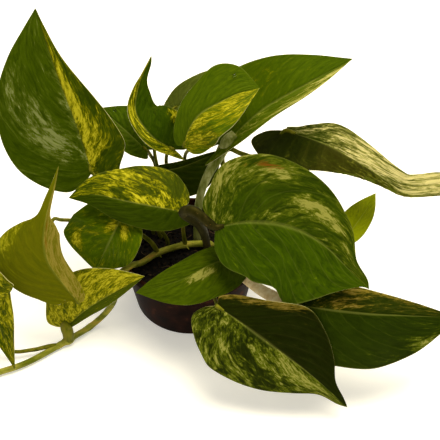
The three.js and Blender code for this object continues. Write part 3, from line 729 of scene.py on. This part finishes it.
def marbling(tree, look, uv, right, vein_way):
    """The broad and the streaky noise field, and the sum of all three with the leaf's amount."""
    amount = add(tree, "ShaderNodeMix", {0: right, 2: look["left"][0], 3: look["right"][0]})[0]
    for across, on, reach_across, reach_on, gain in look.get("patches", ()):
        away = add(tree, "ShaderNodeMapping", {
            "Vector": uv, "Location": (-across / reach_across, -on / reach_on, 0),
            "Scale": (1 / reach_across, 1 / reach_on, 1)})[0]
        away = add(tree, "ShaderNodeVectorMath", {0: away}, operation="LENGTH")["Value"]
        gained = add(tree, "ShaderNodeMapRange", {
            "Value": away, "From Min": 1.0, "From Max": 0.0, "To Max": gain})["Result"]
        amount = add(tree, "ShaderNodeMath", {0: amount, 1: gained})[0]
    mass = add(tree, "ShaderNodeMath", {0: amount, 1: FULLEST}, operation="MINIMUM")[0]
    fields = []
    for scale, detail, warp, weight in FIELDS:
        mapped = add(tree, "ShaderNodeMapping", {"Vector": vein_way, "Scale": scale})["Vector"]
        field = add(tree, "ShaderNodeTexNoise", {
            "Vector": mapped, "Scale": 1.0, "Detail": detail, "Roughness": 0.68,
            "Distortion": warp})["Fac"]
        mass = add(tree, "ShaderNodeMath", {0: field, 1: weight, 2: mass}, operation="MULTIPLY_ADD")[0]
        fields.append(field)
    return fields[0], fields[1], mass


def marbled_and_sheen_colour(tree, look, right, streaks, mass):
    """The blade's green with the pale tones of its marbling on it, and of its painted sheen where it has
    one.
    """
    strength, marbled, halo = [
        add(tree, "ShaderNodeMapRange", {
            "Value": mass, "From Min": low, "From Max": high, "To Max": most})["Result"]
        for low, high, most in (STRONG, PALE, MILKY)]
    tones = []
    for side in ("left", "right"):
        faint, strong = TONES[look[side][1]]
        tones.append(add(tree, "ShaderNodeMix", {
            0: strength, 6: linear(faint), 7: linear(strong)}, data_type="RGBA")[2])
    pale = add(tree, "ShaderNodeMix", {0: right, 6: tones[0], 7: tones[1]}, data_type="RGBA")[2]
    shade = add(tree, "ShaderNodeMapRange", {
        "Value": streaks, "From Min": 0.35, "From Max": 0.7})["Result"]
    green = add(tree, "ShaderNodeMix", {
        0: shade, 6: linear(look.get("deep", "#283a02")), 7: linear(look.get("green", "#445804"))},
        data_type="RGBA")[2]
    marbled = add(tree, "ShaderNodeMath", {0: marbled, 1: halo}, operation="MAXIMUM")[0]
    return add(tree, "ShaderNodeMix", {0: marbled, 6: green, 7: pale}, data_type="RGBA")[2]


def spotted_and_shaded_colour(tree, look, uv, streaks, colour):
    """The colour with the leaf's brown spots and its dark patches of painted shadow, ragged at their
    edges.
    """
    for across, on, reach, ragged, tone in look.get("spots_and_shade", ()):
        spot = (across, on, 0)
        away = add(tree, "ShaderNodeVectorMath", {0: uv, 1: spot}, operation="DISTANCE")["Value"]
        mark = add(tree, "ShaderNodeMath", {0: streaks, 1: -ragged, 2: away}, operation="MULTIPLY_ADD")[0]
        mark = add(tree, "ShaderNodeMapRange", {
            "Value": mark, "From Min": reach - ragged / 2, "From Max": -ragged / 2})["Result"]
        colour = add(tree, "ShaderNodeMix", {0: mark, 6: colour, 7: linear(tone)}, data_type="RGBA")[2]
    return colour


def lined_colour(tree, look, sweep, onward, broad, colour):
    """The colour with fine lines on it: the side veins (pale, except on leaf_tall_left where they are
    dark lines of painted shade in their grooves), then the pale rim and midrib.
    """
    veins = add(tree, "ShaderNodeMath", {0: onward, 1: VEINS}, operation="MULTIPLY")[0]
    veins = add(tree, "ShaderNodeMath", {0: broad, 1: 0.5, 2: veins}, operation="MULTIPLY_ADD")[0]
    veins = add(tree, "ShaderNodeMath", {0: veins, 1: 0.5}, operation="PINGPONG")[0]
    veins = add(tree, "ShaderNodeMapRange", {
        "Value": veins, "From Min": VEIN_LINE[0], "From Max": VEIN_LINE[1],
        "To Max": look.get("veins", 0.1)})["Result"]
    colour = add(tree, "ShaderNodeMix", {
        0: veins, 6: colour, 7: linear(look.get("vein", "#7a8430"))}, data_type="RGBA")[2]
    rim, midrib = [
        add(tree, "ShaderNodeMapRange", {"Value": sweep, "From Min": begin, "From Max": full})["Result"]
        for begin, full in (RIM_LINE, MIDRIB_LINE)]
    lines = add(tree, "ShaderNodeMath", {0: rim, 1: midrib}, operation="MAXIMUM")[0]
    lines = add(tree, "ShaderNodeMath", {0: lines, 1: look.get("midrib", 0.3)}, operation="MULTIPLY")[0]
    return add(tree, "ShaderNodeMix", {0: lines, 6: colour, 7: linear("#9aa04a")}, data_type="RGBA")[2]


def leaf_material(name, leaf, side):
    """A waxy pothos blade: green, marbled in pale streaks that follow the side veins."""
    look = leaf["look"]
    material, tree, shader = new_material(name)
    uv, sweep, right, onward, vein_way = blade_place(tree, look)
    broad, streaks, mass = marbling(tree, look, uv, right, vein_way)
    colour = marbled_and_sheen_colour(tree, look, right, streaks, mass)
    colour = spotted_and_shaded_colour(tree, look, uv, streaks, colour)
    colour = lined_colour(tree, look, sweep, onward, broad, colour)
    through = add(tree, "ShaderNodeMix", {
        0: GLOW_GREEN, 6: colour, 7: linear("#7f9a06")}, data_type="RGBA")[2]
    # Painted light and painted shade: each half's colour, and the light it lets through, is scaled by its
    # own factor, darker where shade falls on that half and brighter where light falls on it.
    painted_light_by_half = look.get("painted_light_by_half", (1, 1))
    light = add(tree, "ShaderNodeMix", {0: right, 2: painted_light_by_half[0], 3: painted_light_by_half[1]})[0]
    colour = add(tree, "ShaderNodeHueSaturation", {"Value": light, "Color": colour})[0]
    through = add(tree, "ShaderNodeHueSaturation", {"Value": light, "Color": through})[0]
    if side == "under":
        colour = add(tree, "ShaderNodeMix", {
            0: 0.5, 6: colour, 7: linear(look.get("under", "#5f6c1c"))}, data_type="RGBA")[2]
    tree.links.new(colour, shader.inputs["Base Color"])
    gloss = add(tree, "ShaderNodeMapRange", {
        "Value": streaks, "To Min": WAXINESS[side][0], "To Max": WAXINESS[side][1]})["Result"]
    tree.links.new(gloss, shader.inputs["Roughness"])
    shader.inputs["Specular IOR Level"].default_value = 0.15
    shader.inputs["Specular Tint"].default_value = linear("#e4cc30")
    ribs = add(tree, "ShaderNodeMath", {0: onward, 1: VEINS * 6 * math.pi}, operation="MULTIPLY")[0]
    ribs = add(tree, "ShaderNodeMath", {0: ribs}, operation="SINE")[0]
    ribs = add(tree, "ShaderNodeMath", {0: streaks, 1: 2.0, 2: ribs}, operation="MULTIPLY_ADD")[0]
    skin = add(tree, "ShaderNodeBump", {"Height": ribs, "Strength": 0.07, "Distance": 0.5 * MM})
    tree.links.new(skin["Normal"], shader.inputs["Normal"])
    glow = add(tree, "ShaderNodeBsdfTranslucent", {"Color": through})[0]
    both = add(tree, "ShaderNodeMixShader", {0: GLOW, 1: shader.outputs[0], 2: glow})[0]
    tree.links.new(both, tree.nodes["Material Output"].inputs["Surface"])
    return material


# Waxy skins of the stalks, from green to dark olive
stalk_skins = {
    "green": stem_material("stalk_waxy_green", "#434c08", "#68681a", "#7a702a"),
    "pale": stem_material("stalk_grey_green", "#5c6824", "#909658", "#b8b88a"),
    # Pale cream is the stalk's own colour, made brighter still as painted light, since in the scene it
    # lies in the shade of leaf_big_right.
    "cream": stem_material("stalk_cream_painted_light", "#dcc090", "#ecd8b0", "#f4e6cc"),
    # Nearly black: painted shade on the sheathed stalk of leaf_big_right, which lies in shade under its
    # blade.
    "olive": stem_material("stalk_olive_painted_shade", "#101204", "#1e1e0a", "#302c14"),
}
# The edge of a blade: a thin pale waxy line
rim_wax, tree, shader = new_material("blade_pale_rim")
place = add(tree, "ShaderNodeTexCoord")["Object"]
uneven = add(tree, "ShaderNodeTexNoise", {"Vector": place, "Scale": 120.0, "Detail": 3.0})["Fac"]
edge_tone = add(tree, "ShaderNodeValToRGB", {"Fac": uneven}, stops=[
    (0.35, linear("#7a7c30")), (0.65, linear("#c0b880"))])["Color"]
tree.links.new(edge_tone, shader.inputs["Base Color"])
shader.inputs["Roughness"].default_value = 0.5


def grow_blade(name, leaf):
    """The blade: a grid shaped by the leaf's rule, lifted by its relief and given its thickness."""
    bpy.ops.mesh.primitive_grid_add(x_subdivisions=COLUMNS, y_subdivisions=ROWS, size=2)
    blade = bpy.context.object
    blade.name = name + "_blade"
    flat = read_points(blade)
    sweep, turn = flat[:, 0], (flat[:, 1] + 1) / 2
    shaped = blade_points(leaf, turn, sweep)
    move_points(blade, shaped)
    normals = read_points(blade, "normal")
    upward = np.where((normals @ np.array(leaf["face"]))[:, None] < 0, -normals, normals)
    move_points(blade, shaped + upward * relief(leaf, turn, sweep)[:, None])
    only(blade)
    bpy.ops.object.mode_set(mode="EDIT")
    bpy.ops.mesh.select_all(action="SELECT")
    bpy.ops.mesh.remove_doubles(threshold=0.005 * MM)
    bpy.ops.object.mode_set(mode="OBJECT")
    for side in ("upper", "under"):
        blade.data.materials.append(leaf_material(f"{name}_{side}side", leaf, side))
    blade.data.materials.append(rim_wax)
    thick = blade.modifiers.new("thick", "SOLIDIFY")
    thick.thickness = BLADE_THICKNESS * MM
    thick.offset = 0
    thick.material_offset = 1
    thick.material_offset_rim = 2
    bpy.ops.object.modifier_apply(modifier="thick")
    bpy.ops.object.shade_smooth_by_angle(angle=math.radians(50))
    return blade


def grow_stalk(name, leaf):
    """The stalk: from its foot in the soil, or its node on the vine, to the start of the midrib."""
    if "foot" in leaf:
        start = [(*leaf["foot"], height) for height in STALK_FOOT]
    else:
        start = [NODES[leaf["node"]]]
    landing = along(smooth(leaf["spine"]), [0, LANDING])
    thickness = np.array(leaf.get("swell", SWELL[1])) * leaf.get("thick", STALK_RADIUS)
    stalk = tube(name + "_stalk", smooth([*start, *leaf["stalk"], *landing]),
                 (SWELL[0], thickness), STALK_STEPS)
    stalk.data.materials.append(stalk_skins[leaf["look"].get("stalk", "green")])
    return stalk


for name, leaf in LEAVES.items():
    whole = join([grow_blade(name, leaf), grow_stalk(name, leaf)], name + "_grown")
    settle(whole, name)

# -----------------------------------------------------------------------------
# Water drops: two beads of clear water left on the upper side of two leaves at the back. Each is
# a flattened ball that sits on the waxy blade.
# -----------------------------------------------------------------------------
# Leaf, place across and along its blade, and radius of each drop
DROPS = (("leaf_back_small", 0.58, 0.8, 1.3), ("leaf_centre_gold", -0.76, 0.7, 1.5))
DROP_HEIGHT = 0.6
# Height of a drop's middle over the blade, as a share of its radius
DROP_RISE = 0.3

# Clear still water with a faint ripple
water, tree, shader = new_material("water_clear_drop")
place = add(tree, "ShaderNodeTexCoord")["Object"]
ripple = add(tree, "ShaderNodeTexNoise", {"Vector": place, "Scale": 500.0, "Detail": 2.0})["Fac"]
wet = add(tree, "ShaderNodeMapRange", {"Value": ripple, "To Min": 0.01, "To Max": 0.05})["Result"]
tree.links.new(wet, shader.inputs["Roughness"])
shader.inputs["Base Color"].default_value = linear("#f4f8f0")
shader.inputs["Transmission Weight"].default_value = 1.0
shader.inputs["IOR"].default_value = 1.33

for name, across, on, size in DROPS:
    spot, beside, ahead = blade_points(
        LEAVES[name], np.array([on, on, on + 0.03]), np.array([across, across + 0.05, across]))
    normal = np.cross(ahead - spot, beside - spot)
    normal *= np.sign(normal @ np.array(LEAVES[name]["face"])) / np.linalg.norm(normal)
    bpy.ops.mesh.primitive_uv_sphere_add(segments=32, ring_count=20, radius=size * MM)
    drop = bpy.context.object
    drop.name = name + "_drop"
    drop.scale = (1, 1, DROP_HEIGHT)
    drop.rotation_euler = (
        math.acos(normal[2]), 0, math.atan2(normal[1], normal[0]) + math.pi / 2)
    drop.location = (spot + normal * (BLADE_THICKNESS / 2 + DROP_RISE * size)) * MM
    bpy.ops.object.transform_apply(location=True, rotation=True, scale=True)
    bpy.ops.object.shade_smooth()
    drop.data.materials.append(water)
    settle(drop, name)

# -----------------------------------------------------------------------------
# Stage, light and camera: a plain pale floor, soft studio light from above and behind on the
# right, and the camera where the photograph was taken from.
# -----------------------------------------------------------------------------
# Size of the floor in metres, and how many millimetres it lies under the pot
FLOOR_SIZE = 6
FLOOR_DROP = 0.5
# Name, place and width in metres, and power in watts of each lamp; both aim at one point
LAMPS = (("key", (0.2, 0.2, 1.35), 1.0, 30), ("fill", (-0.7, -0.8, 0.9), 0.9, 2))
LAMP_AIM = (0, 0, 0.1)
# Place in metres, tilt in degrees, sensor and lens in millimetres
CAMERA_PLACE = (0.023, -0.6582, 0.6958)
CAMERA_TILT = 47
CAMERA_SENSOR = 36
CAMERA_LENS = 96.9

# Matt white backdrop, lit a little from within so that it stays pale
floor_stuff, tree, shader = new_material("floor_pale")
shader.inputs["Base Color"].default_value = linear("#f4f3f0")
shader.inputs["Roughness"].default_value = 0.9
shader.inputs["Emission Color"].default_value = linear("#f6f4ef")
shader.inputs["Emission Strength"].default_value = 0.38
bpy.ops.mesh.primitive_plane_add(size=FLOOR_SIZE, location=(0, 0, -FLOOR_DROP * MM))
floor = bpy.context.object
floor.name = "floor"
floor.data.materials.append(floor_stuff)

world = bpy.data.worlds.new("studio")
bpy.context.scene.world = world
world.use_nodes = True
world.node_tree.nodes["Background"].inputs["Color"].default_value = linear("#fbf3e0")
world.node_tree.nodes["Background"].inputs["Strength"].default_value = 0.42

for name, place, size, power in LAMPS:
    bpy.ops.object.light_add(type="AREA", location=place)
    lamp = bpy.context.object
    lamp.name = "light_" + name
    lamp.data.size = size
    lamp.data.energy = power
    lamp.data.color = linear("#fff6dc")[:3]
    aim = np.array(LAMP_AIM) - place
    lamp.rotation_euler = (
        math.atan2(np.hypot(*aim[:2]), -aim[2]), 0, math.atan2(aim[1], aim[0]) - math.pi / 2)

bpy.ops.object.camera_add(location=CAMERA_PLACE, rotation=(math.radians(CAMERA_TILT), 0, 0))
camera = bpy.context.object
camera.data.sensor_width = CAMERA_SENSOR
camera.data.lens = CAMERA_LENS
bpy.context.scene.camera = camera
bpy.context.scene.view_settings.view_transform = "Standard"
